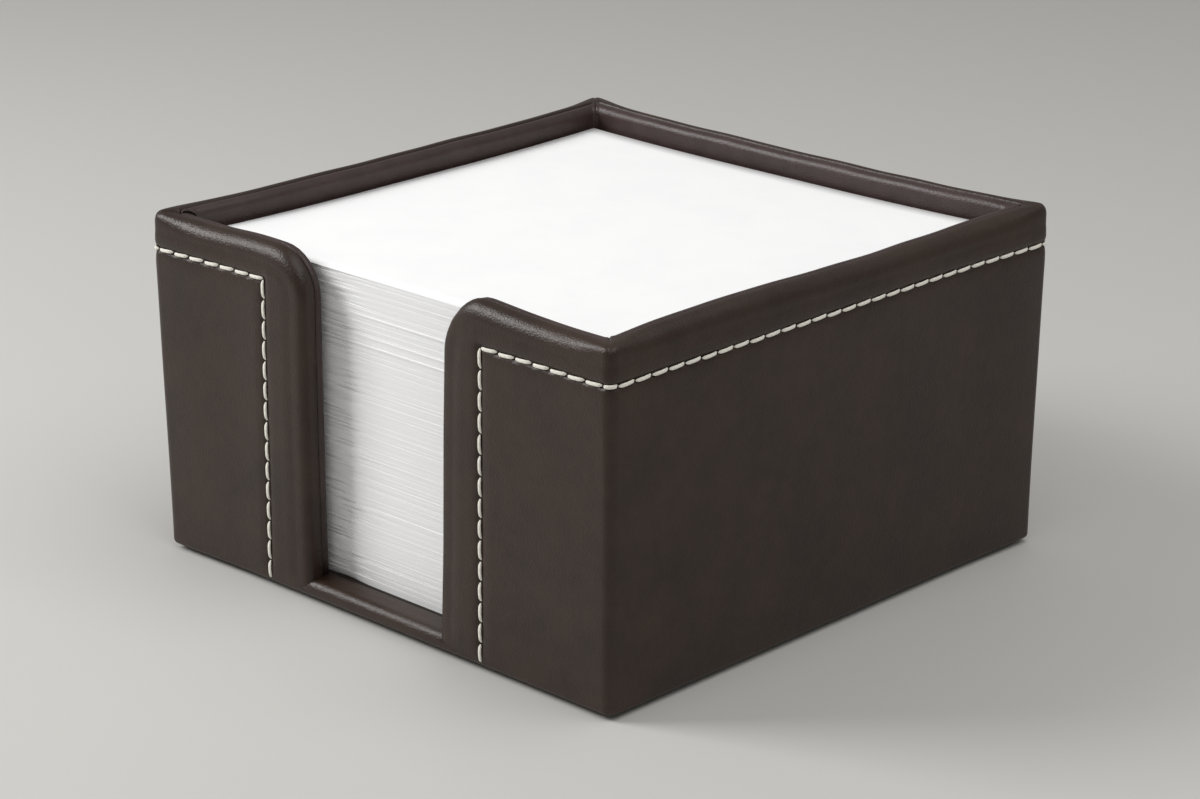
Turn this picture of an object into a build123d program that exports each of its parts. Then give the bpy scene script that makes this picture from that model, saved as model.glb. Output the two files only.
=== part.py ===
"""Square leather-covered desk holder for loose note paper, with a thumb slot in its front wall.

Millimetres, +Z up. The origin is the centre of the footprint, on the surface the holder stands on.
The slotted front wall faces -Y. Each wall is a thin board in a foam sheath, with leather outside
and a lining inside that meet in a crease along the middle of the rounded rim.
"""
from build123d import *
import math
import os

# loose note paper, which sets the size of the box
sheet_width = 90.0  # X
sheet_depth = 90.0  # Y
sheet_thickness = 0.1
sheet_clearance = 1.0  # from the paper to each wall
headroom = 3.3  # from the rim down to the top sheet

# walls
wall_height = 57.6  # from the underside of the leather to the rim between the corners
corner_radius = 3.0  # outer upright corners

# wall build-up: a board in a foam sheath, between the leather cover and the lining
leather = 0.7  # also the lining
foam = 0.6
wall_board = 2.4
inner_corner_radius = 1.0  # upright corners of the cavity
outer_roll = 2.4  # rounding of the rim and the slot's edges on the outside
rim_flat = 0.4  # flat strip between the outer and the inner rounding

# base build-up, from the bottom up
felt = 0.8
felt_inset = 2.0
base_card = 1.4
floor_cloth = 0.4
turn_under = 12.0  # width of the leather folded under the base
card_clearance = 0.3  # round the infill card and the floor lining

# thumb slot in the front wall
slot_width = 31.0
slot_corner_radius = 8.0  # top corners of the two half walls
sill_roll = 1.0  # rounding of the leather along the sill

# decorative seam
seam_drop = 5.8  # below the rim
seam_offset = 9.3  # outside the slot's edge
seam_start = 0.5  # above the bottom edge of the leather
stitch_pitch = 3.4
stitch_gap = 0.5
thread_width = 0.85
thread_height = 0.55
stitch_slant = 6.0  # degrees
groove_width = 1.3
groove_depth = 0.3

# worked out from the sizes above
wall = wall_board + 2 * (foam + leather)
inner_roll = wall - rim_flat - outer_roll
crease_inset = outer_roll + rim_flat / 2  # from the outer face to the crease along the rim
width = sheet_width + 2 * (sheet_clearance + wall)
depth = sheet_depth + 2 * (sheet_clearance + wall)
cover_bottom = felt
base_bottom = cover_bottom + leather
base_top = base_bottom + base_card
floor_top = base_top + floor_cloth
sill_top = base_top + leather
rim_top = cover_bottom + wall_height
seam_height = rim_top - seam_drop
seam_x = slot_width / 2 + seam_offset
top_sheet = rim_top - headroom
stack_top = top_sheet - sheet_thickness
spare = 1.0  # how far a cutting shape runs past what it cuts
tiny = 1e-3


def slab(length, breadth, low, high, radius=0.0):
    """A plate with rounded upright corners, centred on the axis."""
    plan = RectangleRounded(length, breadth, radius) if radius > 0 else Rectangle(length, breadth)
    return extrude(Pos(0, 0, low) * plan, high - low)


def block(low, high):
    """A box between two opposite corners."""
    size = [b - a for a, b in zip(low, high)]
    return Pos(*low) * Box(*size, align=(Align.MIN, Align.MIN, Align.MIN))


def slot_cut(inset, low):
    """The space of the thumb slot, which flares over the rounded top corners."""
    half = slot_width / 2 + inset
    top = rim_top - inset
    radius = slot_corner_radius - inset
    above = top + spare
    side = [
        Line((half, low), (half, top - radius)),
        RadiusArc((half, top - radius), (half + radius, top), radius),
        Line((half + radius, top), (half + radius, above)),
    ]
    left = [mirror(edge, about=Plane.YZ) for edge in side]
    ends = [Line((-half, low), (half, low)), Line((-half - radius, above), (half + radius, above))]
    outline = make_face(Curve() + side + left + ends)
    behind_wall = Plane.XZ.offset(depth / 2 - wall - spare)
    return extrude(behind_wall * outline, wall + 2 * spare)


def same_place(edge, others):
    middle = edge.position_at(0.5)
    return any((middle - other.position_at(0.5)).length < tiny for other in others)


def wall_ring(inset, low):
    """The four slotted walls, drawn in by the inset on every side and rounded along the rim."""
    thickness = wall - 2 * inset
    length, breadth, top = width - 2 * inset, depth - 2 * inset, rim_top - inset
    cavity_length, cavity_breadth = length - 2 * thickness, breadth - 2 * thickness
    outer = slab(length, breadth, low, top, corner_radius - inset)
    cavity = slab(cavity_length, cavity_breadth, low, top, inner_corner_radius + inset)
    ring = outer - cavity - slot_cut(inset, low)

    outer_edges, inner_edges = ShapeList(), ShapeList()
    for edge in ring.edges():
        middle = edge.position_at(0.5)
        in_slot = abs(middle.X) < slot_width / 2 + slot_corner_radius and middle.Y < 0
        on_slot_side = in_slot and low + tiny < middle.Z < top - tiny
        depth_in_wall = min(length / 2 - abs(middle.X), breadth / 2 - abs(middle.Y))
        across_wall = in_slot and tiny < depth_in_wall < thickness - tiny
        if across_wall or not (on_slot_side or abs(middle.Z - top) < tiny):
            continue
        (outer_edges if depth_in_wall < thickness / 2 else inner_edges).append(edge)
    ring = fillet(outer_edges, outer_roll - inset)
    inner_edges = ring.edges().filter_by(lambda edge: same_place(edge, inner_edges))
    return fillet(inner_edges, inner_roll - inset)


def wall_region(side):
    """The part of the plan that belongs to one wall, mitred at the corners."""
    out_x, out_y = width / 2 + spare, depth / 2 + spare
    reach = wall + corner_radius + spare
    in_x, in_y = out_x - reach, out_y - reach
    corners = {
        "left": [(-out_x, -out_y), (-in_x, -in_y), (-in_x, in_y), (-out_x, out_y)],
        "right": [(out_x, -out_y), (in_x, -in_y), (in_x, in_y), (out_x, out_y)],
        "back": [(-out_x, out_y), (-in_x, in_y), (in_x, in_y), (out_x, out_y)],
        "front_left": [(-out_x, -out_y), (-in_x, -in_y), (0, -in_y), (0, -out_y)],
        "front_right": [(out_x, -out_y), (in_x, -in_y), (0, -in_y), (0, -out_y)],
    }[side]
    return extrude(make_face(Polyline(*corners, close=True)), rim_top + spare)


sides = ["left", "back", "right", "front_left", "front_right"]


def sill_block():
    """Leather turned over the front edge of the base between the two half walls."""
    half = slot_width / 2 + outer_roll
    front = -depth / 2
    sill = block((-half, front, cover_bottom), (half, front + wall, sill_top))
    lip = sill.edges().filter_by(Axis.X).group_by(Axis.Z)[-1].sort_by(Axis.Y)[0]
    return fillet(lip, sill_roll)


def seam_groove():
    """A shallow channel under the thread, round the outer faces and down beside the slot."""
    low, high = seam_height - groove_width / 2, seam_height + groove_width / 2
    front = -depth / 2
    band = slab(width + 2 * spare, depth + 2 * spare, low, high)
    core_radius = corner_radius - groove_depth
    band -= slab(width - 2 * groove_depth, depth - 2 * groove_depth, low, high, core_radius)
    half = seam_x - groove_width / 2
    band -= block((-half, front - spare, low), (half, 0, high))
    for x in (-seam_x, seam_x):
        low_corner = (x - groove_width / 2, front - spare, cover_bottom)
        band += block(low_corner, (x + groove_width / 2, front + groove_depth, high))
    return band


def inside_crease():
    """The space inside the crease, where the linings meet the cover."""
    size = -2 * crease_inset
    return slab(width + size, depth + size, base_top, rim_top)


def leather_cover(shell, hollow):
    """One piece of leather: outer faces, outer half of the rim, sill and the turn-under."""
    folded = slab(width, depth, cover_bottom, base_bottom, corner_radius)
    folded -= slab(width - 2 * turn_under, depth - 2 * turn_under, cover_bottom, base_bottom)
    cover = shell - inside_crease() + folded + sill_block()
    return cover - hollow - base_board() - seam_groove()


def wall_linings(shell, hollow):
    """Lining inside each wall, over the inner half of the rim and of the slot's edges."""
    return (shell & inside_crease()) - hollow - sill_block()


def base_board():
    size = -2 * leather
    return slab(width + size, depth + size, base_bottom, base_top, corner_radius - leather)


def infill_card():
    """Card that fills the hollow inside the turned-under leather, level with it."""
    size = -2 * (turn_under + card_clearance)
    return slab(width + size, depth + size, cover_bottom, base_bottom)


def floor_lining():
    size = -2 * (wall + card_clearance)
    return slab(width + size, depth + size, base_top, floor_top, inner_corner_radius)


def felt_pad():
    size = -2 * felt_inset
    return slab(width + size, depth + size, 0, felt, corner_radius)


def seam_runs():
    """Straight runs of the seam as start, end and outward direction."""
    x, y, z = width / 2, depth / 2, seam_height
    flat_x, flat_y = x - corner_radius, y - corner_radius
    start = cover_bottom + seam_start
    return [
        ((-seam_x, -y, start), (-seam_x, -y, z), (0, -1, 0)),
        ((-seam_x, -y, z), (-flat_x, -y, z), (0, -1, 0)),
        ((-x, -flat_y, z), (-x, flat_y, z), (-1, 0, 0)),
        ((-flat_x, y, z), (flat_x, y, z), (0, 1, 0)),
        ((x, flat_y, z), (x, -flat_y, z), (1, 0, 0)),
        ((flat_x, -y, z), (seam_x, -y, z), (0, -1, 0)),
        ((seam_x, -y, z), (seam_x, -y, start), (0, -1, 0)),
    ]


def stitches_along(start, end, outward):
    """Evenly spaced slanted stitches that lie in the groove."""
    start, end, outward = Vector(*start), Vector(*end), Vector(*outward)
    run = end - start
    count = max(1, round(run.length / stitch_pitch))
    pitch = run.length / count
    stitch = extrude(SlotOverall(pitch - stitch_gap, thread_width), thread_height)
    placed = []
    for index in range(count):
        middle = start + run * ((index + 0.5) / count) - outward * groove_depth
        face = Plane(origin=middle, x_dir=run, z_dir=outward)
        placed.append(face.location * Rot(0, 0, stitch_slant) * stitch)
    return placed


def corner_stitches():
    """One bent stitch round each upright corner."""
    inner = corner_radius - groove_depth
    ring = Circle(inner + thread_height) - Circle(inner)
    half_gap = math.degrees(stitch_gap / 2 / corner_radius)
    reach = 2 * corner_radius
    first, last = Vector(reach, 0).rotate(Axis.Z, half_gap), Vector(0, reach).rotate(Axis.Z, -half_gap)
    sector = make_face(Polyline((0, 0), first, (reach, reach), last, close=True))
    stitch = extrude(ring & sector, thread_width)
    x, y = width / 2 - corner_radius, depth / 2 - corner_radius
    low = seam_height - thread_width / 2
    places = [(x, y, 0), (-x, y, 90), (-x, -y, 180), (x, -y, 270)]
    return [Pos(px, py, low) * Rot(0, 0, turn) * stitch for px, py, turn in places]


def seam_thread():
    stitches = [stitch for run in seam_runs() for stitch in stitches_along(*run)]
    return Compound(children=[Solid(item.solid().wrapped) for item in stitches + corner_stitches()])


def build():
    shell = wall_ring(0, cover_bottom)
    hollow = wall_ring(leather, base_top)
    boards = wall_ring(leather + foam, base_top)
    sheath = hollow - boards
    linings = wall_linings(shell, hollow)
    parts = {
        "felt_pad": felt_pad(),
        "base_board": base_board(),
        "infill_card": infill_card(),
        "floor_lining": floor_lining(),
        "leather_cover": leather_cover(shell, hollow),
        "seam_thread": seam_thread(),
        "note_stack": slab(sheet_width, sheet_depth, floor_top, stack_top),
        "top_note": slab(sheet_width, sheet_depth, stack_top, top_sheet),
    }
    for side in sides:
        region = wall_region(side)
        parts[side + "_board"] = boards & region
        parts[side + "_foam"] = sheath & region
        parts[side + "_lining"] = linings & region
    return parts


os.makedirs("parts", exist_ok=True)
for name, shape in build().items():
    export_step(shape, "parts/" + name + ".step")
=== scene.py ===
# Desk box for loose note paper: leather, linings, seam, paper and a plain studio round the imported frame.
# Sizes in the dictionaries are in millimetres unless a note says otherwise.
import bpy
import bmesh
import math
import numpy as np
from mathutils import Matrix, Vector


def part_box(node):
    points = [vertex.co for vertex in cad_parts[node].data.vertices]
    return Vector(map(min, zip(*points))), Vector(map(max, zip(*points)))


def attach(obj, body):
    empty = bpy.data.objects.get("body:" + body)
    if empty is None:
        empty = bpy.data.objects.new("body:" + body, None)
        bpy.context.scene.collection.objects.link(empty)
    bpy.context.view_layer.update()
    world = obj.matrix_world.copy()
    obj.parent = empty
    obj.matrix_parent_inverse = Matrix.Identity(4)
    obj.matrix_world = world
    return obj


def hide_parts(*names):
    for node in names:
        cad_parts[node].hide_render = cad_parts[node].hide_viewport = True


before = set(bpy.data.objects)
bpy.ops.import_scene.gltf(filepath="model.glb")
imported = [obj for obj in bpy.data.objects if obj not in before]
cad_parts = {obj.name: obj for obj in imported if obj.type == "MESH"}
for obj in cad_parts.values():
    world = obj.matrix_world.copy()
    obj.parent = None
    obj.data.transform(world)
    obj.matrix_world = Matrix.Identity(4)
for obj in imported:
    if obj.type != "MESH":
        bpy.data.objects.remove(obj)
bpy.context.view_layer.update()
mm = 0.001
near = 1e-4  # for comparing places


def nodeBox(node):
    low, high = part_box(node)
    return np.array(low) / mm, np.array(high) / mm


def placed(name, data):
    # a new object in the scene
    made = bpy.data.objects.new(name, data)
    bpy.context.scene.collection.objects.link(made)
    return made


def pieceName(side, kind):
    # front_left and Foam give frontLeftFoam
    first, *rest = side.split("_")
    return first + "".join(word.title() for word in rest) + kind


def facedUp(piece):
    if piece.data.polygons[0].normal.z < 0:
        piece.data.flip_normals()
    return piece


wallSides = ("left", "back", "right", "front_left", "front_right")
cornerTurns = ((1, -1, -90), (1, 1, 0), (-1, 1, 90), (-1, -1, 180))  # signs of x and y, first angle
coverLow, coverHigh = nodeBox("leather_cover")
half, rimZ, hemZ = float(coverHigh[0]), float(coverHigh[2]), float(coverLow[2])
floorTop = float(nodeBox("floor_lining")[1][2])
print("frame loaded, rim at", round(rimZ, 2), "mm")

# --- the walls ---
wall = {
    "thickness": 5.0,
    "cornerRadius": 1.7,  # outer upright corners
    "cavityRadius": 1.0,  # inner upright corners
    "outerRoll": 2.6,
    "creaseAcross": 3.08,  # from the outer face to the crease between leather and lining
    "creaseDepth": 0.6,
    "creaseGap": 0.015,
    "creaseTongue": 0.6,  # how far both skins turn down into the crease
    "innerRollHeight": 1.6,
    "innerRollReach": 1.3,
    "innerRollDrop": 0.15,  # how much lower the inner roll stands than the outer one
    "skin": 0.4,
    "mitreDip": 0.1,  # fold of the leather at each upper corner
    "mitreSpread": 8.0,  # degrees
    "mitreRise": 1.6,  # height over which the fold deepens
    "ridge": 0.45, "ridgeAt": 20.0, "ridgeSpread": 9.0,  # beside the fold: share of its depth, degrees
    "cornerSquare": 2.2,  # how much squarer the outer roll is at the corners, where the leather is folded
    "edgeSquare": 0.6,  # the share of that at the slot's upright edges
    "swellFade": 2.2,  # how far from the rolls the swell of the faces dies out
    "hemFade": 2.5,  # the same over the hem
    "cornerReach": 4.5,
    "ripple": 0.06,
}
slot = {
    "half": 15.5,
    "cornerRadius": 8.0,
    "sillTop": 3.6,
    "sillRoll": 1.7,
    "sillDepth": 4.7,  # from the front face to where the sill dips to the floor lining
    "sillSteps": [2.2, 3.4],  # columns of the sill's flat top, from the front face
    "sillTail": 0.45, "sillDip": 0.22,  # the leather's end behind the sill, and how far it turns down
    "edgeStart": 2.0,  # height at which the rolled edges rise from the sill
    "levels": [3.0, 18.0, 38.0, 52.0, 60.0],  # heights at which the lean of the half walls is given
    "leanLeft": [-0.7, -0.85, -0.8, -0.65, -0.5],
    "leanRight": [-1.75, -1.1, -0.6, -0.05, 0.1],
    "seamLeanLeft": [-1.15, -1.0, -0.8, -0.55, -0.5],
    "seamLeanRight": [-1.5, -1.3, -1.0, -0.75, -0.7],
    "leanReach": 14.0,  # how far beyond the seam the lean dies out
}
# height of the rim over its middle level, by the way round from the middle of the front, clockwise
rimWave = {
    "way": [15, 25, 30, 38, 45, 51, 56, 70, 102, 135, 148, 153, 160, 180, 204, 235, 250, 255,
            262, 275, 292, 311, 325, 331, 338, 347, 353, 357, 362, 370, 374, 378, 381, 385, 393],
    "lift": [0.0, -0.02, 0.0, -0.22, 0.05, 0.5, 0.65, 0.7, 0.65, 0.8, 1.05, 1.3, 1.0, 0.75, 0.6,
             0.75, 0.9, 1.1, 0.75, 0.4, 0.25, 0.55, 0.95, 1.0, 0.95, 0.65, 0.4, 0.12,
             0.08, 0.2, 0.32, 0.55, 0.85, 1.05, 1.05],
}
seam = {
    "drop": 5.8,  # below the rim
    "side": 24.8,  # from the middle of the front
    "end": 0.4,  # above the hem
    "pitch": 3.4,
    "grooveDepth": 0.23,
    "grooveWidth": 0.5,
    "holeDepth": 0.24,
    "bandPuff": 0.2,  # swell between the seam and the edges
    "panelPuff": 0.22,  # swell of the panel just beyond the seam
    "bandReach": 1.8, "panelReach": 2.4, "panelFade": 12.0,  # how far from the seam they rise and fade
    "besideSlot": 7,  # stitches from the seam that runs down to the corner
    "alongWall": 28,  # stitches along each of the other walls
    "closeReach": 1.2, "closeRows": 13,  # rows of the leather on both sides of the seam
}
seamBand = np.linspace(-seam["closeReach"], seam["closeReach"], seam["closeRows"])
hem = {"radius": 0.8, "lip": 1.0, "tuck": 2.8}
# how closely the leather's rows and columns lie away from the seam
grid = {
    "rowStep": 0.7,
    "frontStart": 26.4, "frontColumns": 52,
    "perStitch": 5,  # columns of the other walls round the seam
    "splitDrop": 1.7,  # how far below the seam the other walls turn coarse
    "splitGap": 1.2, "coarseRows": 24, "coarseColumns": 25,
}
# how far the folded corners stand out, at the hem and at the rim
flare = {"start": 30.0, "reach": 20.0, "hem": 0.4,
         "frontLeft": 1.0, "backLeft": 0.5, "backRight": 0.9, "frontRight": 0.0}
seamZ = rimZ - seam["drop"]
flat = half - wall["cornerRadius"]
cavity = half - wall["thickness"]
innerFlat = cavity - wall["cavityRadius"]
edgeX = slot["half"] + wall["outerRoll"]
arcX, arcZ = slot["half"] + slot["cornerRadius"], rimZ - slot["cornerRadius"]
sillFlat = slot["sillTop"] - slot["sillRoll"]


def smooth(value):
    value = np.clip(value, 0, 1)
    return value * value * (3 - 2 * value)


def wayRound(x, y):
    way = np.where(y < 0, np.where(x < 0, -x, 8 * half - x), 4 * half + x)
    sideways = np.abs(x) > np.abs(y)
    return np.where(sideways, np.where(x < 0, 2 * half + y, 6 * half - y), way)


def rimLift(way):
    spread = np.linspace(-2.4, 2.4, 5)
    return sum(np.interp(way + step, rimWave["way"], rimWave["lift"]) for step in spread) / 5


def leanOf(x, z):
    edge = np.where(x < 0, np.interp(z, slot["levels"], slot["leanLeft"]),
                    np.interp(z, slot["levels"], slot["leanRight"]))
    sewn = np.where(x < 0, np.interp(z, slot["levels"], slot["seamLeanLeft"]),
                    np.interp(z, slot["levels"], slot["seamLeanRight"]))
    size = np.abs(x)
    inside = edge + (sewn - edge) * smooth((size - arcX + 5) / (seam["side"] - arcX + 5))
    beyond = sewn * (1 - smooth((size - seam["side"]) / slot["leanReach"]))
    return np.where(size < seam["side"], inside, beyond)


def settle(points):
    # the soft set of the walls: rim wave, ripples and leaning half walls, the same for every layer
    x, y, z = np.asarray(points, dtype=float).T.copy()
    way = wayRound(x, y)
    high = smooth((z - seamZ) / (rimZ - seamZ))
    wander = np.sin(way / 4.1 + 1.3 * np.sin(way / 11.0)) + 0.6 * np.sin(way / 2.3 + 2.0)
    lifted = z + (rimLift(way) + wall["ripple"] * 0.7 * wander) * high
    front = (y < -cavity + 1.5) & (np.abs(x) < half - 0.5)
    cornered = np.where(y < 0, np.where(x < 0, flare["frontLeft"], flare["frontRight"]),
                        np.where(x < 0, flare["backLeft"], flare["backRight"]))
    close = smooth((np.abs(x) - flare["start"]) / flare["reach"])
    close = close * smooth((np.abs(y) - flare["start"]) / flare["reach"])
    push = cornered * close * (flare["hem"] + (1 - flare["hem"]) * np.clip(z / rimZ, 0, 1))
    x, y = x + np.where(front, leanOf(x, z), 0) + np.sign(x) * push, y + np.sign(y) * push
    return np.stack([x, y, lifted], axis=1)


class Net:
    # points in millimetres and faces by number, gathered row by row
    def __init__(self):
        self.points, self.faces = [], []

    def row(self, points, keep=None):
        numbers = []
        for index, point in enumerate(points):
            if keep is not None and not keep[index]:
                numbers.append(None)
                continue
            numbers.append(len(self.points))
            self.points.append(tuple(point))
        return numbers

    def join(self, rows, closed=False):
        pairs = list(zip(rows, rows[1:])) + ([(rows[-1], rows[0])] if closed else [])
        for first, second in pairs:
            for i in range(len(first) - 1):
                face = [v for v in (first[i], first[i + 1], second[i + 1], second[i]) if v is not None]
                if len(face) > 2:
                    self.faces.append(face)

    def sew(self, first, second, firstKeys, secondKeys):
        # triangles between two rows whose points stand at different steps
        i = j = 0
        while i < len(first) - 1 or j < len(second) - 1:
            ahead = j == len(second) - 1 or (i < len(first) - 1 and firstKeys[i + 1] <= secondKeys[j + 1])
            if ahead:
                self.faces.append([first[i], first[i + 1], second[j]])
                i += 1
            else:
                self.faces.append([first[i], second[j + 1], second[j]])
                j += 1

    def piece(self, name, shaped=None, shade=True):
        points = np.array(self.points) if shaped is None else shaped(np.array(self.points))
        mesh = bpy.data.meshes.new(name)
        mesh.from_pydata((points * mm).tolist(), [], self.faces)
        work = bmesh.new()
        work.from_mesh(mesh)
        bmesh.ops.remove_doubles(work, verts=work.verts, dist=0.002 * mm)
        bmesh.ops.dissolve_degenerate(work, edges=work.edges, dist=0.0005 * mm)
        bmesh.ops.recalc_face_normals(work, faces=work.faces)
        work.to_mesh(mesh)
        work.free()
        if shade:
            mesh.shade_smooth()
        return placed(name, mesh)


def worked(piece):
    # a new plain mesh of the piece with its modifiers worked in
    depsgraph = bpy.context.evaluated_depsgraph_get()
    return bpy.data.meshes.new_from_object(piece.evaluated_get(depsgraph))


def thicken(piece, thickness):
    shell = piece.modifiers.new("thickness", "SOLIDIFY")
    shell.thickness = thickness * mm
    shell.offset = -1
    mesh = worked(piece)
    piece.modifiers.clear()
    piece.data = mesh
    mesh.name = piece.name
    return piece


# --- materials ---
class Value:
    def __init__(self, graph, socket):
        self.graph, self.socket = graph, socket

    def combine(self, operation, first, second):
        return self.graph.node("ShaderNodeMath", {"operation": operation}, {0: first, 1: second})

    def output(self, name):
        return Value(self.graph, self.socket.node.outputs[name])

    def __add__(self, other):
        return self.combine("ADD", self, other)

    def __radd__(self, other):
        return self.combine("ADD", other, self)

    def __sub__(self, other):
        return self.combine("SUBTRACT", self, other)

    def __rsub__(self, other):
        return self.combine("SUBTRACT", other, self)

    def __mul__(self, other):
        return self.combine("MULTIPLY", self, other)

    def __truediv__(self, other):
        return self.combine("DIVIDE", self, other)

    def __pow__(self, other):
        return self.combine("POWER", self, other)


class Graph:
    def __init__(self, tree):
        self.tree = tree

    def node(self, kind, settings=None, inputs=None, output=0):
        made = self.tree.nodes.new(kind)
        for key, value in (settings or {}).items():
            if key == "stops":
                ramp = made.color_ramp.elements
                for index, (place, level) in enumerate(value):
                    stop = ramp[index] if index < 2 else ramp.new(place)
                    stop.position, stop.color = place, (level, level, level, 1)
            else:
                setattr(made, key, value)
        for key, value in (inputs or {}).items():
            self.link(made.inputs[key], value)
        return Value(self, made.outputs[output])

    def link(self, socket, value):
        if isinstance(value, Value):
            self.tree.links.new(value.socket, socket)
        else:
            socket.default_value = value


class Finish(Graph):
    def __init__(self, name):
        self.material = bpy.data.materials.new(name)
        self.material.use_nodes = True
        super().__init__(self.material.node_tree)
        self.shader = self.tree.nodes["Principled BSDF"]

    def place(self, stretch=(1, 1, 1)):
        coordinates = self.node("ShaderNodeTexCoord", output="Object")
        return self.node("ShaderNodeMapping", inputs={"Vector": coordinates, "Scale": stretch})

    def noise(self, size, detail=3, stretch=(1, 1, 1), roughness=0.55):
        inputs = {"Vector": self.place(stretch), "Scale": 1 / (size * mm), "Detail": detail,
                  "Roughness": roughness}
        return self.node("ShaderNodeTexNoise", None, inputs, "Fac")

    def cells(self, size, feature="DISTANCE_TO_EDGE"):
        inputs = {"Vector": self.place(), "Scale": 1 / (size * mm)}
        return self.node("ShaderNodeTexVoronoi", {"feature": feature}, inputs, "Distance")

    def ramp(self, value, stops):
        return self.node("ShaderNodeValToRGB", {"stops": stops}, {"Fac": value})

    def mix(self, factor, first, second):
        settings = {"data_type": "RGBA", "blend_type": "MIX"}
        return self.node("ShaderNodeMix", settings, {0: factor, 6: first, 7: second}, 2)

    def bump(self, height, depth, strength=1.0, under=None):
        inputs = {"Height": height, "Distance": depth * mm, "Strength": strength}
        if under is not None:
            inputs["Normal"] = under
        return self.node("ShaderNodeBump", inputs=inputs)

    def set(self, **sockets):
        for key, value in sockets.items():
            self.link(self.shader.inputs[key.replace("_", " ")], value)
        return self.material


def colour(red, green, blue):
    # screen levels from 0 to 255 to a linear colour
    levels = [v / 255 for v in (red, green, blue)]
    return (*[v / 12.92 if v <= 0.04045 else ((v + 0.055) / 1.055) ** 2.4 for v in levels], 1)


def leatherFinish(name, dark, light, sheen, grain):
    finish = Finish(name)
    pebbles = finish.ramp(finish.cells(0.55), [(0.0, 0.0), (0.3, 1.0)])
    fine = finish.noise(0.22, 4)
    cloud = finish.noise(13, 4)
    drift = finish.noise(2.6, 3)
    tone = finish.ramp(cloud * 0.65 + drift * 0.35, [(0.36, 0.0), (0.66, 1.0)])
    base = finish.mix(tone, dark, light)
    pores = finish.ramp(fine, [(0.3, 1.0), (0.5, 0.0)])
    base = finish.mix(pores * 0.35, base, colour(22, 14, 10))
    height = pebbles * 0.5 + fine * 0.5
    broad = finish.bump(drift, 0.12, 0.4)
    normal = finish.bump(height, 0.06 * grain, 0.7, broad)
    roughness = sheen + (fine - 0.5) * 0.16 + (cloud - 0.5) * 0.12
    return finish.set(Base_Color=base, Roughness=roughness, Normal=normal, Specular_IOR_Level=0.42)


def threadFinish():
    finish = Finish("waxedThread")
    along = finish.node("ShaderNodeAttribute", {"attribute_name": "threadAlong"}, output="Fac")
    around = finish.node("ShaderNodeAttribute", {"attribute_name": "threadAround"}, output="Fac")
    turns = along * 3.2 + around * 2
    twist = finish.node("ShaderNodeMath", {"operation": "PINGPONG"}, {0: turns, 1: 0.5}) * 2
    fibre = finish.noise(0.12, 3)
    # the grooves of the twist are lower in the bump and also painted darker: painted shade in the grooves,
    # mixed with the fibre's own random tone
    grooveAndShade = finish.ramp(twist, [(0.0, 0.0), (0.3, 1.0)])
    base = finish.mix(grooveAndShade * 0.7 + fibre * 0.3, colour(226, 219, 205), colour(255, 252, 242))
    normal = finish.bump(grooveAndShade * 0.7 + fibre * 0.3, 0.06, 0.6)
    return finish.set(Base_Color=base, Roughness=0.6 + fibre * 0.12, Normal=normal)


def paperFinish():
    finish = Finish("notePaper")
    fibre = finish.noise(0.35, 4)
    cloud = finish.noise(9, 3)
    # fine grey lines along the sheets on the stack's sides: painted shade between the sheets; the cloud is a
    # random tone of the paper
    edges = finish.noise(0.2, 2, (0.02, 0.02, 1.0))
    base = finish.mix(finish.ramp(edges, [(0.35, 1.0), (0.6, 0.0)]) * 0.12 + cloud * 0.05,
                      colour(252, 252, 252), colour(230, 232, 237))
    normal = finish.bump(fibre, 0.012, 0.5)
    return finish.set(Base_Color=base, Roughness=0.82 + (fibre - 0.5) * 0.1, Normal=normal)


def feltFinish(name, dark, light):
    finish = Finish(name)
    fluff = finish.noise(0.3, 5, roughness=0.7)
    clump = finish.noise(2.4, 3)
    base = finish.mix(fluff * 0.6 + clump * 0.4, dark, light)
    normal = finish.bump(fluff, 0.16, 0.9)
    return finish.set(Base_Color=base, Roughness=0.92 + (fluff - 0.5) * 0.1, Normal=normal)


def boardFinish(name, dark, light, grain):
    finish = Finish(name)
    chips = finish.noise(0.5, 5, grain, 0.65)
    cloud = finish.noise(8, 3)
    base = finish.mix(chips * 0.7 + cloud * 0.3, dark, light)
    normal = finish.bump(chips, 0.05, 0.6)
    return finish.set(Base_Color=base, Roughness=0.8 + (chips - 0.5) * 0.15, Normal=normal)


def foamFinish():
    finish = Finish("foamSheet")
    cells = finish.cells(0.35, "F1")
    # darker where the cells' bump is low: painted shade in the foam's hollows
    base = finish.mix(cells, colour(232, 228, 214), colour(202, 196, 178))
    normal = finish.bump(1 - cells, 0.12, 0.8)
    return finish.set(Base_Color=base, Roughness=0.9 - cells * 0.1, Normal=normal)


finishes = {
    "cover": leatherFinish("coverLeather", colour(42, 27, 18), colour(56, 39, 28), 0.4, 1.0),
    "lining": leatherFinish("liningLeather", colour(55, 41, 39), colour(70, 56, 54), 0.4, 0.8),
    "thread": threadFinish(),
    "paper": paperFinish(),
    "felt": feltFinish("baseFelt", colour(22, 20, 19), colour(44, 40, 38)),
    "floorCloth": feltFinish("floorCloth", colour(30, 24, 21), colour(52, 42, 37)),
    "board": boardFinish("fibreBoard", colour(142, 110, 78), colour(182, 148, 110), (1, 1, 3)),
    "card": boardFinish("greyCard", colour(116, 112, 104), colour(150, 146, 138), (1, 1, 4)),
    "foam": foamFinish(),
}


def dress(piece, finish, slotName, body, *nodes):
    piece.data.materials.clear()
    piece.data.materials.append(finishes[finish])
    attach(piece, body)
    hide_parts(*nodes)
    print(piece.name, len(piece.data.vertices), "points")


print("finishes made")


# --- columns round the walls: outer place, inner place and outward direction ---
def innerOf(value):
    # the place on the inner face opposite a place on the outer one
    bend = 36.0
    size = abs(value)
    past = bend + (size - bend) * (innerFlat - bend) / (flat - bend)
    return math.copysign(past if size > bend else size, value)


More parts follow.
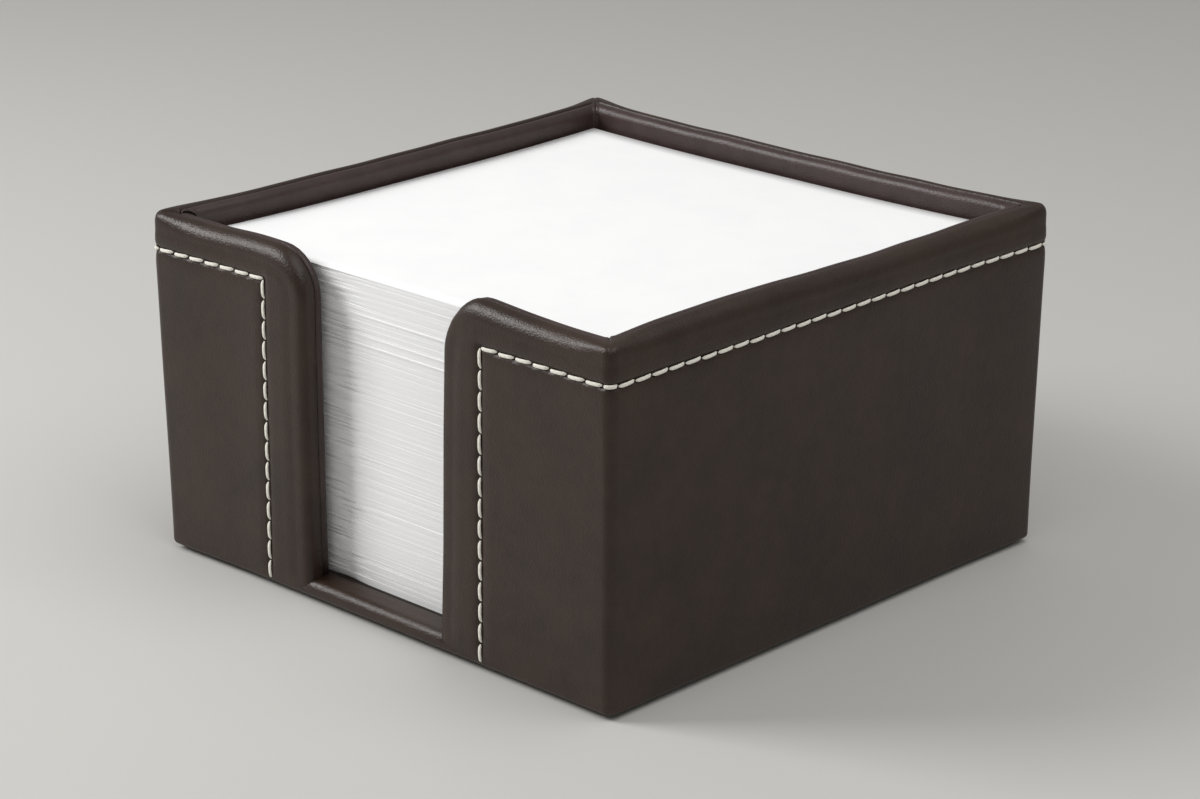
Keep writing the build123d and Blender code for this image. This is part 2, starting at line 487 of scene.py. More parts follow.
def straight(side, places):
    made = []
    for place in places:
        inner = innerOf(place)
        made.append({
            "front": ((place, -half), (inner, -cavity), (0, -1)),
            "left": ((-half, place), (-cavity, inner), (-1, 0)),
            "back": ((place, half), (inner, cavity), (0, 1)),
            "right": ((half, place), (cavity, inner), (1, 0)),
        }[side])
    return made


def corner(signX, signY, degrees):
    made = []
    for angle in np.radians(degrees):
        nx, ny = math.cos(angle), math.sin(angle)
        outer = (signX * flat + wall["cornerRadius"] * nx, signY * flat + wall["cornerRadius"] * ny)
        inner = (signX * innerFlat + wall["cavityRadius"] * nx, signY * innerFlat + wall["cavityRadius"] * ny)
        made.append((outer, inner, (nx, ny)))
    return made


def mitreOf(normal):
    # 1 in the middle of an upright corner, and 0 on the straight walls
    angle = math.degrees(math.atan2(abs(normal[1]), abs(normal[0]))) - 45
    ridge = wall["ridge"] * math.exp(-((abs(angle) - wall["ridgeAt"]) / wall["ridgeSpread"]) ** 2)
    return math.exp(-(angle / wall["mitreSpread"]) ** 2) - ridge


def cornerOf(outer):
    # 1 at an upright corner, and 0 a little way along the walls
    past = float(wayRound(*outer) - half) % (2 * half)
    return math.exp(-(min(past, 2 * half - past) / wall["cornerReach"]) ** 2)


def arcAngles(radius, fine):
    # angles from the rim down to the slot's edge, with rows that follow the seam on the outside
    if not fine:
        return np.radians(np.linspace(0, 90, 10))
    rows = seamZ - seamBand
    return np.concatenate([np.radians([0, 8, 16, 23, 30, 37]), np.arccos((rows - arcZ) / radius),
                           np.radians([84, 90])])


def rollProfile(inner, square=0.0):
    # places across the wall and heights over the rim line, from a face to the crease or back
    deep, drop, reach = wall["creaseDepth"], wall["innerRollDrop"], wall["innerRollReach"]
    roll, high = wall["outerRoll"], wall["innerRollHeight"]
    dip, tongue = np.radians(np.linspace(0, 90, 6)[1:]), wall["creaseTongue"]
    if not inner:
        turn = np.radians(np.linspace(0, 90, 12))
        power = 2 / (2 + square)
        lip = wall["creaseAcross"] - wall["creaseGap"] - roll
        across = np.concatenate([roll - roll * np.cos(turn) ** power, roll + lip * np.sin(dip), [roll + lip]])
        fall = -deep * (1 - np.cos(dip))
        return across, np.concatenate([roll * np.sin(turn) ** power - roll, fall, [-deep - tongue]])
    start, peak = wall["creaseAcross"] + wall["creaseGap"], wall["thickness"] - reach
    turn = np.radians(np.linspace(90, 0, 10))
    across = np.concatenate([[start], peak - (peak - start) * np.sin(dip[::-1]), peak + reach * np.cos(turn)])
    fall = -drop - (deep - drop) * (1 - np.cos(dip[::-1]))
    return across, np.concatenate([[-deep - tongue], fall, -high + (high - drop) * np.sin(turn)])


def edgeSamples(side, rows, angles, radius):
    # along a slot's edge from the sill up to the rim: a start on the face, out of the wall, across it
    across = np.array([0, wall["thickness"], 0])
    samples = []
    for z in [row for row in rows if slot["edgeStart"] - near <= row < arcZ - near]:
        samples.append((np.array([side * edgeX, -half, z]), np.array([-side, 0, 0]), across, 0,
                        wall["edgeSquare"]))
    for angle in angles[::-1][:-1]:
        out = np.array([-side * math.sin(angle), 0, math.cos(angle)])
        start = np.array([side * arcX, -half, arcZ]) + (slot["cornerRadius"] - wall["outerRoll"]) * out
        samples.append((start, out, across, 0, wall["edgeSquare"] * math.sin(angle) ** 2))
    return samples


def rimSamples(columns):
    samples = []
    for outer, inner, normal in columns:
        if outer[1] < 0 and abs(outer[0]) < arcX - near:
            continue
        start = np.array([*outer, rimZ - wall["outerRoll"]])
        across = np.array([inner[0] - outer[0], inner[1] - outer[1], 0])
        samples.append((start, np.array([0, 0, 1]), across, mitreOf(normal), cornerOf(outer)))
    return samples


def rollRows(net, samples, inner):
    rows = []
    for start, out, over, mitre, turning in samples:
        across, height = rollProfile(inner, wall["cornerSquare"] * turning)
        fold = wall["mitreDip"] * mitre * smooth((height + wall["outerRoll"]) / wall["mitreRise"])
        points = [start + out * (wall["outerRoll"] + h - f) + over * (a / wall["thickness"])
                  for a, h, f in zip(across, height, fold)]
        rows.append(net.row(points))
    return rows


# --- leather cover ---
def faceRelief(outer, normal, rows):
    # how far the leather of a face stands out, or is drawn in by the seam
    x, way = outer[0], float(wayRound(*outer))
    onFront = normal[1] < -0.999
    beside = abs(x) - seam["side"]
    across = np.abs(rows - seamZ) if not onFront or beside > 0 else np.hypot(rows - seamZ, beside)
    down = np.full(len(rows), 99.0)  # far from the seams that run down
    if onFront:
        down = np.where(rows < seamZ, abs(beside), np.hypot(rows - seamZ, beside))
        step = (flat - seam["side"]) / seam["besideSlot"]
        phase = beside / step
    elif max(abs(normal[0]), abs(normal[1])) > 0.999:
        along = outer[1] if abs(normal[0]) > 0.5 else outer[0]
        phase = (along + flat) / (2 * flat / seam["alongWall"])
    else:
        phase = math.degrees(math.atan2(abs(normal[1]), abs(normal[0]))) / 90
    width = seam["grooveWidth"]
    cutAcross, cutDown = np.exp(-(across / width) ** 2), np.exp(-(down / width) ** 2)
    hole = math.cos(2 * math.pi * phase) * cutAcross
    holeDown = np.cos(2 * np.pi * (seamZ - rows) / downPitch) * cutDown
    away = np.minimum(across, down)
    banded = (rows > seamZ) | (onFront and beside < 0)
    panel = seam["panelPuff"] * smooth(away / seam["panelReach"]) * np.exp(-away / seam["panelFade"])
    puff = np.where(banded, seam["bandPuff"] * smooth(away / seam["bandReach"]), panel)
    drift = wall["ripple"] * (np.sin(way / 9.0 + rows / 14.0) + np.sin(way / 4.7 - rows / 7.3 + 2.0)) * 0.5
    relief = puff + drift - seam["grooveDepth"] * np.maximum(cutAcross, cutDown)
    relief = relief - seam["holeDepth"] * np.maximum(np.maximum(hole, holeDown), 0)
    reach = wall["swellFade"]
    fade = smooth((rimZ - wall["outerRoll"] - rows) / reach)
    fade = fade * smooth((rows - hemZ - hem["radius"]) / wall["hemFade"])
    if onFront and abs(x) < arcX:
        radius = slot["cornerRadius"] - wall["outerRoll"]
        inset = radius - np.hypot(arcX - abs(x), np.maximum(rows - arcZ, 0))
        fade = fade * np.where(rows > arcZ, smooth(inset / reach), smooth((abs(x) - edgeX) / reach))
    return relief * fade


downCount = round((seamZ - hemZ - seam["end"]) / seam["pitch"])
downPitch = (seamZ - hemZ - seam["end"]) / downCount


def coverRows(step, radius, angles):
    low = hemZ + hem["radius"]
    below = np.linspace(low, arcZ, round((arcZ - low) / step) + 1)[:-1]
    fixed = [sillFlat, slot["edgeStart"]]
    below = [z for z in below if min(abs(z - f) for f in fixed) > 0.25]
    return np.concatenate([np.sort(np.array(below + fixed)), arcZ + radius * np.cos(angles[::-1])])


def makeCover():
    net = Net()
    radius = slot["cornerRadius"] - wall["outerRoll"]
    angles = arcAngles(radius, True)
    rows = coverRows(grid["rowStep"], radius, angles)
    arcs = arcX - radius * np.sin(angles[::-1])
    outward = np.concatenate([arcs, seam["side"] + seamBand[1:]])
    outward = outward[(outward < arcX - near) | (outward > arcX + 0.15)]
    beyond = np.linspace(grid["frontStart"], flat, grid["frontColumns"])
    outward = np.unique(np.round(np.concatenate([outward, [arcX], beyond]), 7))
    sill = np.linspace(-edgeX, edgeX, 15)[1:-1]
    turnFL, turnFR = np.linspace(270, 180, 13)[1:-1], np.linspace(0, -90, 13)[1:-1]
    frontRight = straight("front", outward[::-1])
    frontLeft = straight("front", -outward)
    front = (corner(1, -1, turnFR) + frontRight + straight("front", sill[::-1]) + frontLeft
             + corner(-1, -1, turnFL))
    backCorners = corner(-1, 1, np.linspace(180, 90, 11)[1:-1]), corner(1, 1, np.linspace(90, 0, 11)[1:-1])

    def otherWalls(count):
        places = np.linspace(-flat, flat, count)
        return (straight("left", places) + backCorners[0] + straight("back", places) + backCorners[1]
                + straight("right", places[::-1]))

    upper = otherWalls(seam["alongWall"] * grid["perStitch"] + 1)
    lower = otherWalls(grid["coarseColumns"])

    def face(columns, levels):
        made = []
        for outer, inner, normal in columns:
            relief = faceRelief(outer, normal, levels)
            size = abs(outer[0])
            keep = np.ones(len(levels), bool)
            if outer[1] < 0 and size < edgeX - near:
                keep = levels <= sillFlat + near
            elif outer[1] < 0 and size < arcX - near:
                top = arcZ + math.sqrt(max(radius ** 2 - (arcX - size) ** 2, 0))
                keep = levels <= top + near
            points = [(outer[0] + normal[0] * out, outer[1] + normal[1] * out, z)
                      for out, z in zip(relief, levels)]
            made.append(net.row(points, keep))
        low = int(np.sum(levels <= sillFlat + near))
        for first, second, a, b in zip(made, made[1:], columns, columns[1:]):
            overSill = max(a[0][1], b[0][1]) < 0 and min(abs(a[0][0]), abs(b[0][0])) < edgeX - near
            net.join([first[:low], second[:low]] if overSill and low else [first, second])
        return made

    def distance(columns):
        places = np.array([outer for outer, inner, normal in columns])
        return np.concatenate([[0], np.cumsum(np.linalg.norm(np.diff(places, axis=0), axis=1))])

    frontFace = face(front, rows)
    split = seamZ - grid["splitDrop"]
    upRows = rows[rows > split]
    lowRows = np.linspace(rows[0], split - grid["splitGap"], grid["coarseRows"])
    upFace, lowFace = face(upper, upRows), face(lower, lowRows)
    net.sew([c[-1] for c in lowFace], [c[0] for c in upFace], distance(lower), distance(upper))
    levels = np.concatenate([lowRows, upRows])
    net.sew(frontFace[-1], lowFace[0] + upFace[0], rows, levels)
    net.sew(lowFace[-1] + upFace[-1], frontFace[0], levels, rows)

    turn = np.radians(np.linspace(0, 90, 6))
    inward = np.append(hem["radius"] * (1 - np.cos(turn)), [hem["radius"] + hem["lip"], hem["tuck"]])
    height = np.append(hem["radius"] * (1 - np.sin(turn)), [0, 0])
    hemRows = [net.row([(outer[0] - normal[0] * i, outer[1] - normal[1] * i, hemZ + h)
                        for i, h in zip(inward, height)]) for outer, inner, normal in front + lower]
    net.join(hemRows, closed=True)

    turn = np.radians(np.linspace(0, 90, 7))
    deep = slot["sillDepth"]
    flats = [*slot["sillSteps"], deep, deep + slot["sillTail"]]
    back = np.append(slot["sillRoll"] * (1 - np.cos(turn)), flats)
    height = np.append(sillFlat + slot["sillRoll"] * np.sin(turn), [slot["sillTop"]] * 4)
    height[-1] -= slot["sillDip"]
    places = np.concatenate([[edgeX], sill[::-1], [-edgeX]])
    net.join([net.row([(x, -half + b, h) for b, h in zip(back, height)]) for x in places])

    rim = rimSamples(frontLeft + corner(-1, -1, turnFL) + upper + corner(1, -1, turnFR) + frontRight)
    left, right = (edgeSamples(side, rows, angles, radius) for side in (-1, 1))
    net.join(rollRows(net, left + rim + right[::-1], False))
    return thicken(net.piece("leatherCover", settle), wall["skin"])


dress(makeCover(), "cover", "cover_leather", "holder", "leather_cover")


# --- linings of the five walls ---
def makeLining(name, columns, slotSide):
    net = Net()
    radius = slot["cornerRadius"] - wall["innerRollHeight"]
    angles = arcAngles(radius, False)
    below = np.linspace(floorTop + 0.05, arcZ, 16)[:-1]
    rows = np.concatenate([below, arcZ + radius * np.cos(angles[::-1])])
    made = []
    for outer, inner, normal in columns:
        size = abs(outer[0])
        keep = np.ones(len(rows), bool)
        if slotSide and size < arcX - near:
            keep = rows <= arcZ + math.sqrt(max(radius ** 2 - (arcX - size) ** 2, 0)) + near
        made.append(net.row([(*inner, z) for z in rows], keep))
    net.join(made)
    samples = rimSamples(columns)
    if slotSide:
        edge = edgeSamples(slotSide, below, angles, radius)
        samples = edge + samples if slotSide < 0 else samples + edge[::-1]
    net.join(rollRows(net, samples, True))
    return thicken(net.piece(name, settle), wall["skin"])


def makeLinings():
    radius = slot["cornerRadius"] - wall["innerRollHeight"]
    arcs = arcX - radius * np.sin(arcAngles(radius, False)[::-1])
    places = np.concatenate([arcs, np.linspace(arcX, flat, 24)[1:]])
    along = np.linspace(-flat, flat, 72)
    gap = 0.6  # degrees left between two linings in a corner
    sides = {
        "left": corner(-1, -1, np.linspace(225 - gap, 180, 7)[:-1]) + straight("left", along)
        + corner(-1, 1, np.linspace(180, 135 + gap, 7)[1:]),
        "back": corner(-1, 1, np.linspace(135 - gap, 90, 7)[:-1]) + straight("back", along)
        + corner(1, 1, np.linspace(90, 45 + gap, 7)[1:]),
        "right": corner(1, 1, np.linspace(45 - gap, 0, 7)[:-1]) + straight("right", along[::-1])
        + corner(1, -1, np.linspace(0, -45 + gap, 7)[1:]),
        "front_left": straight("front", -places) + corner(-1, -1, np.linspace(270, 225 + gap, 7)[1:]),
        "front_right": corner(1, -1, np.linspace(-45 - gap, -90, 7)[:-1]) + straight("front", places[::-1]),
    }
    for side, columns in sides.items():
        slotSide = {"front_left": -1, "front_right": 1}.get(side, 0)
        piece = makeLining(pieceName(side, "Lining"), columns, slotSide)
        dress(piece, "lining", "lining", "holder", side + "_lining")


makeLinings()


# --- foam sheaths: the solids of the frame, settled like the leather over them ---
foam = {
    "sink": 0.45,  # lower at the rim, so that the crease stays clear
    "fill": 0.5,
    "cutStep": 4.0,  # the long faces are cut this often, so that they follow the leather
    "cutReach": 48.0,
}


def makeFoam(side):
    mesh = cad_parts[side + "_foam"].data.copy()
    work = bmesh.new()
    work.from_mesh(mesh)
    bmesh.ops.remove_doubles(work, verts=work.verts, dist=0.002 * mm)
    for place in np.arange(-foam["cutReach"], foam["cutReach"] + 0.1, foam["cutStep"]) * mm:
        for across in ((1, 0, 0), (0, 1, 0)):
            everything = [*work.verts, *work.edges, *work.faces]
            bmesh.ops.bisect_plane(work, geom=everything, plane_co=[place * v for v in across],
                                   plane_no=across, dist=0.0005 * mm)
    bmesh.ops.dissolve_degenerate(work, edges=work.edges, dist=0.002 * mm)
    work.to_mesh(mesh)
    work.free()
    points = np.array([tuple(v.co) for v in mesh.vertices]) / mm
    moved = settle(points)
    moved[:, 2] -= foam["sink"] * smooth((points[:, 2] - seamZ) / (rimZ - seamZ - 1))
    for vertex, place in zip(mesh.vertices, moved * mm):
        vertex.co = place
    piece = placed(pieceName(side, "Foam"), mesh)
    mesh.name = piece.name
    dress(piece, "foam", "foam", "holder", side + "_foam")


for side in wallSides:
    makeFoam(side)


# --- stitches: each run of the seam is a path, and the tree sews it ---
stitch = {
    "width": 0.62,
    "gap": 0.36,
    "rise": 0.08,  # of the thread's middle over the face
    "dip": 0.2,  # of its ends
    "slant": 3.0,  # degrees
    "flatness": 0.6,
    "wander": 0.05,
    "rings": 9,
    "sides": 8,
    "seed": 7,
}


def makeSewingTree():
    tree = bpy.data.node_groups.new("sewnRun", "GeometryNodeTree")
    kinds = {"Path": "Geometry", "Stitches": "Int", "Gap": "Float", "Radius": "Float", "Rise": "Float",
             "Dip": "Float", "Slant": "Float", "Flatness": "Vector", "Wander": "Float", "Rings": "Int",
             "Sides": "Int", "Seed": "Int", "Thread": "Material"}
    sockets = {name: tree.interface.new_socket(name, in_out="INPUT", socket_type="NodeSocket" + kind)
               for name, kind in kinds.items()}
    tree.interface.new_socket("Sewn", in_out="OUTPUT", socket_type="NodeSocketGeometry")
    graph = Graph(tree)
    entry = tree.nodes.new("NodeGroupInput")
    given = {name: Value(graph, entry.outputs[name]) for name in kinds}
    vectorKind = {"data_type": "FLOAT_VECTOR"}

    def vector(operation, first, second):
        key = 3 if operation == "SCALE" else 1
        return graph.node("ShaderNodeVectorMath", {"operation": operation}, {0: first, key: second})

    def store(geometry, name, value, settings=None):
        inputs = {"Geometry": geometry, "Name": name, "Value": value}
        return graph.node("GeometryNodeStoreNamedAttribute", settings, inputs)

    def scatter(low, high, salt):
        inputs = {2: low, 3: high, 7: order, 8: given["Seed"] + salt}
        return graph.node("FunctionNodeRandomValue", {"data_type": "FLOAT"}, inputs, 1)

    path = graph.node("GeometryNodeMeshToCurve", None, {"Mesh": given["Path"]})
    pitch = graph.node("GeometryNodeCurveLength", None, {"Curve": path}) / given["Stitches"]
    points = graph.node("GeometryNodePoints", None, {"Count": given["Stitches"] * given["Rings"]})
    index = graph.node("GeometryNodeInputIndex")
    order = graph.node("ShaderNodeMath", {"operation": "FLOOR"}, {0: (index + 0.5) / given["Rings"]})
    along = (index - order * given["Rings"]) / (given["Rings"] - 1)
    swing = along * 2 - 1
    size = graph.node("ShaderNodeMath", {"operation": "ABSOLUTE"}, {0: swing})
    length = pitch - given["Gap"] + scatter(-0.08 * mm, 0.08 * mm, 1)
    travel = (order + 0.5) * pitch + swing * length * 0.5
    outward = graph.node("GeometryNodeInputNamedAttribute", vectorKind, {"Name": "outward"})
    settings = {"mode": "LENGTH", "data_type": "FLOAT_VECTOR", "use_all_curves": False}
    sample = graph.node("GeometryNodeSampleCurve", settings,
                        {"Curves": path, "Value": outward, "Length": travel}, "Position")
    facing = vector("NORMALIZE", sample.output("Value"), (0, 0, 0))
    beside = vector("CROSS_PRODUCT", facing, sample.output("Tangent"))
    arch = given["Rise"] - (given["Rise"] + given["Dip"]) * size ** 3
    offset = given["Slant"] * swing * length * 0.5 + scatter(-1, 1, 2) * given["Wander"]
    place = vector("ADD", sample, vector("SCALE", facing, arch))
    place = vector("ADD", place, vector("SCALE", beside, offset))
    thick = given["Radius"] * (1 - size ** 8 * 0.8) ** 0.5
    points = graph.node("GeometryNodeSetPosition", None, {"Geometry": points, "Position": place})
    points = store(points, "facing", facing, vectorKind)
    points = store(points, "thick", thick)
    points = store(points, "threadAlong", along)
    threads = graph.node("GeometryNodePointsToCurves", None,
                         {"Points": points, "Curve Group ID": order, "Weight": along})
    kept = graph.node("GeometryNodeInputNamedAttribute", vectorKind, {"Name": "facing"})
    threads = graph.node("GeometryNodeSetCurveNormal", {"mode": "FREE"}, {"Curve": threads, "Normal": kept})
    ring = graph.node("GeometryNodeCurvePrimitiveCircle", None, {"Resolution": given["Sides"], "Radius": 1.0})
    turn = graph.node("GeometryNodeSplineParameter", output="Factor")
    ring = store(ring, "threadAround", turn)
    ring = graph.node("GeometryNodeTransform", None, {"Geometry": ring, "Scale": given["Flatness"]})
    width = graph.node("GeometryNodeInputNamedAttribute", None, {"Name": "thick"})
    sewn = graph.node("GeometryNodeCurveToMesh", None,
                      {"Curve": threads, "Profile Curve": ring, "Scale": width, "Fill Caps": True})
    sewn = graph.node("GeometryNodeRealizeInstances", None, {"Geometry": sewn})
    sewn = graph.node("GeometryNodeSetMaterial", None, {"Geometry": sewn, "Material": given["Thread"]})
    exit = tree.nodes.new("NodeGroupOutput")
    graph.link(exit.inputs["Sewn"], sewn)
    return tree, {name: socket.identifier for name, socket in sockets.items()}


def sewRun(tree, identifiers, places, outward, count):
    mesh = bpy.data.meshes.new("run")
    points = settle(places)
    mesh.from_pydata((points * mm).tolist(), [(i, i + 1) for i in range(len(points) - 1)], [])
    facing = mesh.attributes.new("outward", "FLOAT_VECTOR", "POINT")
    facing.data.foreach_set("vector", np.asarray(outward, dtype=float).ravel())
    run = placed("run", mesh)
    sewing = run.modifiers.new("sewing", "NODES")
    sewing.node_group = tree
    settings = {
        "Stitches": count, "Gap": stitch["gap"] * mm, "Radius": stitch["width"] * mm / 2,
        "Rise": stitch["rise"] * mm, "Dip": stitch["dip"] * mm,
        "Slant": math.tan(math.radians(stitch["slant"])), "Flatness": (stitch["flatness"], 1.0, 1.0),
        "Wander": stitch["wander"] * mm, "Rings": stitch["rings"], "Sides": stitch["sides"],
        "Seed": stitch["seed"] + 10 * len(bpy.data.meshes), "Thread": finishes["thread"],
    }
    for name, value in settings.items():
        sewing[identifiers[name]] = value
    sewn = worked(run)
    bpy.data.objects.remove(run)
    return sewn


def seamRuns():
    # places, outward directions and how many stitches, from the outside always to the right or up
    runs = []
    for side in (-1, 1):
        heights = np.linspace(hemZ + seam["end"], seamZ, 60)
        runs.append(([(side * seam["side"], -half, z) for z in heights], [(0, -1, 0)] * 60, downCount))
        places = np.linspace(*sorted((side * seam["side"], side * flat)), 40)
        runs.append(([(x, -half, seamZ) for x in places], [(0, -1, 0)] * 40, seam["besideSlot"]))
    steps = np.linspace(-flat, flat, 80)
    for places, normal in (([(half, y, seamZ) for y in steps], (1, 0, 0)),
                           ([(x, half, seamZ) for x in steps[::-1]], (0, 1, 0)),
                           ([(-half, y, seamZ) for y in steps[::-1]], (-1, 0, 0))):
        runs.append((places, [normal] * 80, seam["alongWall"]))
    for signX, signY, first in cornerTurns:
        columns = corner(signX, signY, np.linspace(first, first + 90, 16))
        runs.append(([(*outer, seamZ) for outer, inner, normal in columns],
                     [(*normal, 0) for outer, inner, normal in columns], 1))
    return runs


def makeSeam():
    tree, identifiers = makeSewingTree()
    work = bmesh.new()
    for places, outward, count in seamRuns():
        sewn = sewRun(tree, identifiers, places, outward, count)
        work.from_mesh(sewn)
        bpy.data.meshes.remove(sewn)
    mesh = bpy.data.meshes.new("seamThread")
    bmesh.ops.recalc_face_normals(work, faces=work.faces)
    work.to_mesh(mesh)
    work.free()
    mesh.shade_smooth()
    return placed("seamThread", mesh)


dress(makeSeam(), "thread", "thread", "holder", "seam_thread")


# --- loose paper ---
paper = {
    "half": 45.0,
    "layer": 0.3,
    "shift": 0.012,
    "turn": 0.05,  # degrees
    "stray": 0.16,  # the few sheets that stand out further
    "strayShare": 0.06,
    "mostShift": 0.5,
    "ragged": 0.5,  # uneven edges in the shade of the left half wall
    "raggedAt": -14.5, "raggedReach": 3.6,
    "raggedColumns": (-22.0, -6.0, 1.6),  # first, last and step of the closer columns there
    "curl": 0.42,
    "curlStart": 58.0,  # where it begins, as x + y from the middle
    "curlDepth": 9.0,
    "curlPower": 1.7, "curlMost": 1.05,
    "edgeLift": 0.1,
    # the uppermost sheet: degrees, gap under it, share of the curl and thickness
    "topTurn": 0.35, "topGap": 0.03, "topCurl": 1.05, "topThickness": 0.09,
    "seed": 23,
}


def curlAt(x, y):
    reach = (np.abs(x) + np.abs(y) - paper["curlStart"]) / (2 * paper["half"] - paper["curlStart"])
    edges = (np.abs(x / paper["half"]) ** 6 + np.abs(y / paper["half"]) ** 6) / 2
    corners = np.clip(reach, 0, paper["curlMost"]) ** paper["curlPower"]
    return paper["curl"] * corners + paper["edgeLift"] * edges


def squareLoop(size, steps):
    line = np.linspace(-1, 1, steps + 1)[:-1]
    loop = [(t, -1) for t in line] + [(1, t) for t in line]
    loop += [(-t, 1) for t in line] + [(-1, -t) for t in line]
    return np.array(loop) * size


def makeStack():
    low, high = nodeBox("note_stack")
    draw = np.random.default_rng(paper["seed"])
    outline = squareLoop(float(high[0]), 10)
    extra = np.arange(*paper["raggedColumns"])
    front = np.unique(np.append(outline[:11, 0], extra))
    outline = np.vstack([np.column_stack([front, np.full(len(front), outline[0, 1])]), outline[11:]])
    count = round((high[2] - low[2]) / paper["layer"])
    net = Net()
    rows = []

    def loopAt(points, z):
        lift = curlAt(*points.T) * np.exp(-(high[2] - z) / paper["curlDepth"])
        return np.column_stack([points, z + lift])

    for k in range(count):
        angle = math.radians(draw.normal(0, paper["turn"]))
        shift = draw.normal(0, paper["shift"], 2)
        if draw.random() < paper["strayShare"]:
            shift = shift + draw.uniform(-paper["stray"], paper["stray"], 2)
        turn = np.array([[math.cos(angle), -math.sin(angle)], [math.sin(angle), math.cos(angle)]])
        place = outline @ turn.T + np.clip(shift, -paper["mostShift"], paper["mostShift"])
        beside = np.exp(-((place[:, 0] - paper["raggedAt"] - draw.normal(0, 1)) / paper["raggedReach"]) ** 2)
        place[:, 1] += np.where(place[:, 1] < 0, draw.uniform(0, paper["ragged"]) * beside, 0)
        for z in np.linspace(low[2], high[2], count + 1)[k:k + 2]:
            loop = net.row(loopAt(place, z + (0.02 if z < high[2] and len(rows) % 2 == 0 else 0)))
            rows.append(loop + loop[:1])
    for scale in np.linspace(1, 0, 9)[1:]:
        loop = net.row(loopAt(place * scale, high[2]))
        rows.append(loop + loop[:1])
    net.join(rows)
    net.faces.append(rows[0][:-1])
    return net.piece("noteStack", shade=False)


def makeTopNote():
    low, high = nodeBox("top_note")
    net = Net()
    steps = np.linspace(low[0], high[0], 31)
    angle = math.radians(paper["topTurn"])
    rows = []
    for y in steps:
        x = steps
        turned = np.column_stack([x * math.cos(angle) - y * math.sin(angle),
                                  x * math.sin(angle) + y * math.cos(angle)])
        z = high[2] + paper["topGap"] + curlAt(x, y + 0 * x) * paper["topCurl"]
        rows.append(net.row(np.column_stack([turned, z])))
    net.join(rows)
    return thicken(facedUp(net.piece("topNote")), paper["topThickness"])


dress(makeStack(), "paper", "paper", "stack", "note_stack")
dress(makeTopNote(), "paper", "paper", "sheet", "top_note")


# --- felt pad and floor lining, laid sheets with soft edges ---
def makeCloth(name, node, cornerRadius, unevenness):
    low, high = nodeBox(node)
    size, thick = float(high[0]), float(high[2] - low[2])
    outline = []
    for signX, signY, first in cornerTurns:
        for degrees in np.linspace(first, first + 90, 7):
            angle = math.radians(degrees)
            reach = size - cornerRadius
            outline.append((signX * reach + cornerRadius * math.cos(angle),
                            signY * reach + cornerRadius * math.sin(angle)))
        side = np.linspace(-1, 1, 14)[1:-1] * (size - cornerRadius)
        edges = {(1, -1): [(size, t) for t in side], (1, 1): [(-t, size) for t in side],
                 (-1, 1): [(-size, -t) for t in side], (-1, -1): [(t, -size) for t in side]}
        outline += edges[signX, signY]
    outline = np.array(outline)
    wave = unevenness * (np.sin(outline[:, 0] / 3.1) + np.sin(outline[:, 1] / 2.7))
    net = Net()
    loops = [(0.0, 0.0), (0.5, 0.0), (0.95, 0.0)]
    loops += [(1 - thick * (0.25 - 0.25 * math.sin(a)) / size, thick * (0.5 - 0.5 * math.cos(a)))
              for a in np.radians(np.linspace(10, 170, 6))]
    loops += [(0.95, thick), (0.5, thick), (0.0, thick)]
    rows = []
    for scale, height in loops:
        points = outline * (scale * (1 + wave[:, None] / size))
        loop = net.row(np.column_stack([points, np.full(len(points), low[2] + height)]))
        rows.append(loop + loop[:1])
    net.join(rows)
    return net.piece(name)


felt = {"corner": 2.0, "unevenness": 0.06}
floorCloth = {"corner": 1.0, "unevenness": 0.03}
pad = makeCloth("feltPad", "felt_pad", felt["corner"], felt["unevenness"])
dress(pad, "felt", "felt", "holder", "felt_pad")
cloth = makeCloth("floorLining", "floor_lining", floorCloth["corner"], floorCloth["unevenness"])
dress(cloth, "floorCloth", "lining", "holder", "floor_lining")

# --- boards inside, which stay as the frame has them ---
for side in wallSides:
    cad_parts[side + "_board"].material_slots[0].material = finishes["board"]
for node in ("base_board", "infill_card"):
    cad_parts[node].material_slots[0].material = finishes["card"]
print("boards dressed")

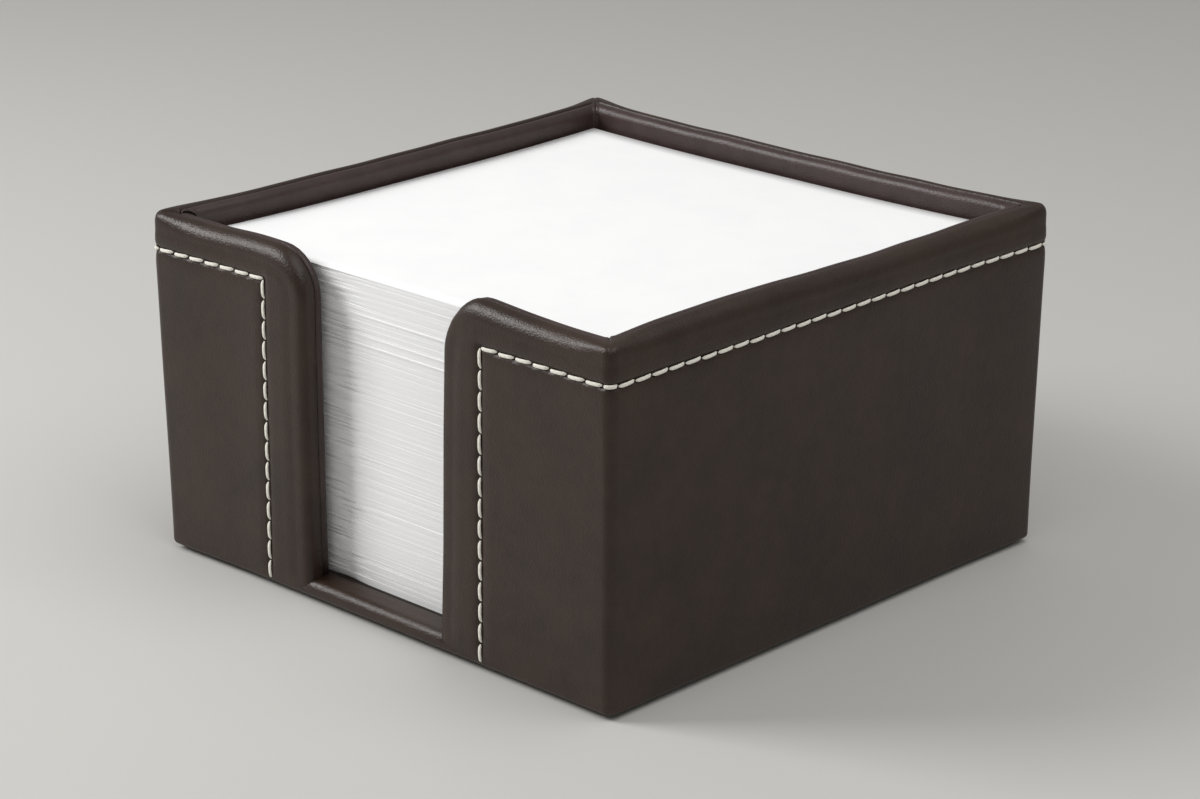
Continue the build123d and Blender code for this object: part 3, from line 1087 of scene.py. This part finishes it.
# --- camera, floor and light ---
view = {
    "azimuth": 44.04, "elevation": 19.302,  # degrees
    "distance": 559.28, "sideways": -0.31, "upwards": 23.58,
    "focalPixels": 3314.47, "imageWidth": 1200,
    "sensor": 36.0,
}
studio = {
    "floorHalf": 3.0,  # metres
    "floorColour": (205, 204, 200),
    "skyColour": (1, 0.99, 0.97, 1),
    "skyLevel": 0.31,
    # softboxes: size and place in metres, power in watts
    "overhead": {"size": 0.55, "place": (0.24, 0.02, 0.56), "power": 1.55},
    "side": {"size": 0.3, "place": (-0.43, -0.36, 0.42), "power": 3.1},
}


def makeCamera():
    a, e = math.radians(view["azimuth"]), math.radians(view["elevation"])
    back = np.array([math.sin(a) * math.cos(e), -math.cos(a) * math.cos(e), math.sin(e)])
    right = np.array([math.cos(a), math.sin(a), 0])
    place = back * view["distance"] + right * view["sideways"] + np.cross(back, right) * view["upwards"]
    place[2] += hemZ
    lens = bpy.data.cameras.new("camera")
    lens.sensor_width = view["sensor"]
    lens.lens = view["sensor"] * view["focalPixels"] / view["imageWidth"]
    lens.clip_start, lens.clip_end = 0.01, 20
    camera = placed("camera", lens)
    camera.location = place * mm
    camera.rotation_euler = (math.pi / 2 - e, 0, a)
    bpy.context.scene.camera = camera


def makeStudio():
    net = Net()
    reach = studio["floorHalf"] / mm
    signs = [(-1, -1), (1, -1), (1, 1), (-1, 1)]
    net.faces.append(net.row([(signX * reach, signY * reach, 0) for signX, signY in signs]))
    floor = facedUp(net.piece("floor"))
    table = Finish("paleTable")
    table.set(Base_Color=colour(*studio["floorColour"]), Roughness=0.6)
    floor.data.materials.append(table.material)
    sky = bpy.data.worlds.new("studioSky")
    sky.use_nodes = True
    glow = sky.node_tree.nodes["Background"].inputs
    glow["Color"].default_value = studio["skyColour"]
    glow["Strength"].default_value = studio["skyLevel"]
    bpy.context.scene.world = sky
    for name in ("overhead", "side"):
        lamp = bpy.data.lights.new(name, "AREA")
        lamp.shape, lamp.size, lamp.energy = "SQUARE", studio[name]["size"], studio[name]["power"]
        softbox = placed(name, lamp)
        softbox.location = studio[name]["place"]
        softbox.rotation_euler = softbox.location.to_track_quat("Z", "Y").to_euler()


makeCamera()
makeStudio()
bpy.context.scene.view_settings.view_transform = "Standard"
